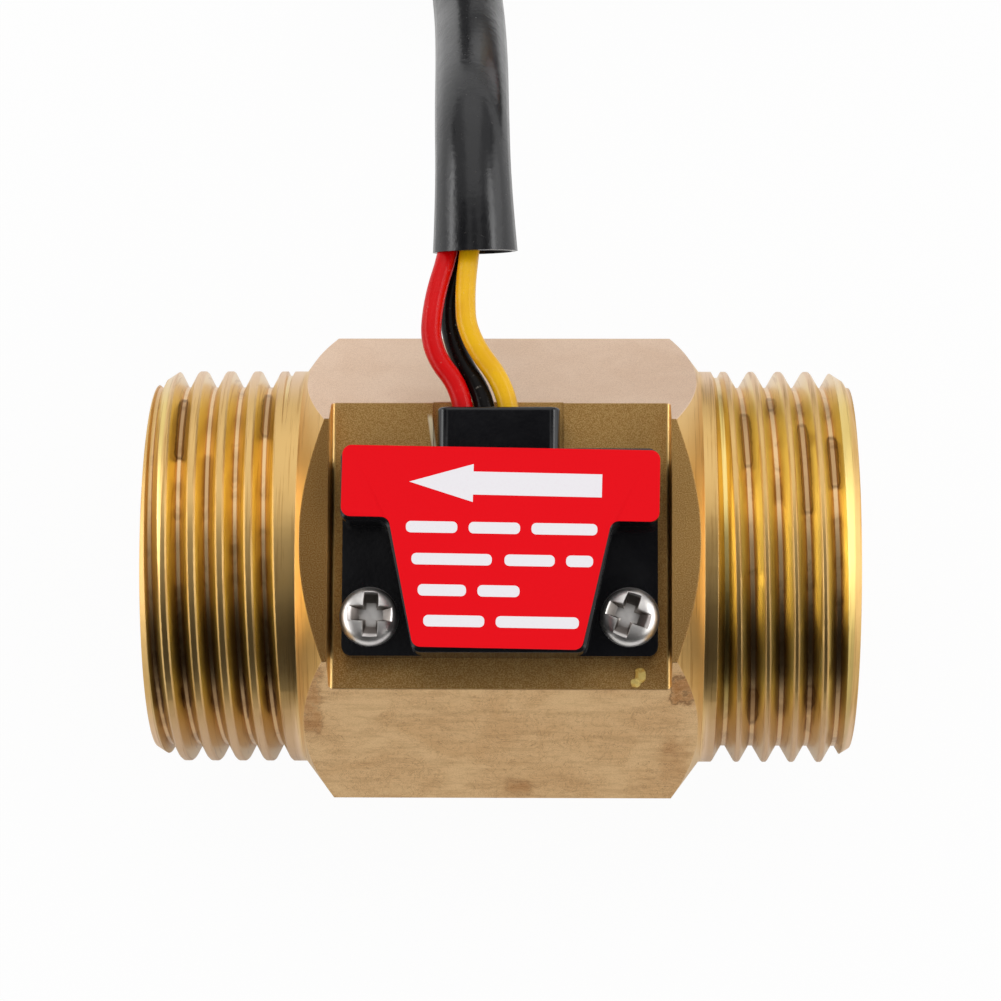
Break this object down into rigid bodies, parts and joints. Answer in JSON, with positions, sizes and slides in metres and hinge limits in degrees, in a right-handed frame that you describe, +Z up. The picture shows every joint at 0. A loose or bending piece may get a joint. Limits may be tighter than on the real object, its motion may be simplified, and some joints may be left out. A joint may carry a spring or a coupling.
{
  "type": "water flow sensor",
  "caption": "Hexagon brass turbine flow sensor with male pipe threads at both ends, a black moulded hall sensor on its front flat and a sleeved three-wire lead with a plug.",
  "frame": {"origin": "middle of the brass body's length, under the flow axis, on the surface that the back flat lies on", "axes": "+X along the flow axis towards the inlet, +Z up through the sensor's label, +Y towards the side where the wires leave"},
  "size_m": [0.0893, 0.1578, 0.0358],
  "materials": {
    "brass": "satin turned and milled brass, stained in places",
    "housing_plastic": "glossy black moulding",
    "label_film": "satin red film",
    "stainless": "bright steel",
    "guide_plastic": "off-white moulding",
    "rotor_plastic": "off-white moulding",
    "bush_plastic": "tan bearing plastic",
    "magnet": "dark ferrite",
    "board": "green board",
    "chip": "black moulding",
    "resin": "black potting resin",
    "wire_red": "satin insulation",
    "wire_black": "satin insulation",
    "wire_yellow": "satin insulation",
    "sleeve": "semi-gloss sleeving",
    "tie": "black tie",
    "plug_plastic": "off-white moulding",
    "contact": "tinned contact"
  },
  "bodies": {
    "body": {"brass_body": "brass", "outlet_guide": "guide_plastic", "inlet_guide": "guide_plastic", "outlet_bush": "bush_plastic", "inlet_bush": "bush_plastic", "retaining_ring": "stainless", "sensor_housing": "housing_plastic", "circuit_board": "board", "hall_chip": "chip", "pull_up_chip": "chip", "potting": "resin", "label": "label_film", "screw_left": "stainless", "screw_right": "stainless", "cable_sleeve": "sleeve", "cable_coil": "sleeve", "coil_tie": "tie", "plug_housing": "plug_plastic", "wire_red": "wire_red", "tail_red": "wire_red", "plug_terminal_red": "contact", "wire_black": "wire_black", "tail_black": "wire_black", "plug_terminal_black": "contact", "wire_yellow": "wire_yellow", "tail_yellow": "wire_yellow", "plug_terminal_yellow": "contact"},
    "rotor": {"turbine_rotor": "rotor_plastic", "rotor_shaft": "stainless", "rotor_magnet": "magnet"}
  },
  "joints": [
    {"name": "rotor_spin", "type": "hinge", "parent": "body", "child": "rotor", "pos_m": [0, 0, 0.017], "axis": [1, 0, 0], "continuous": true}
  ]
}
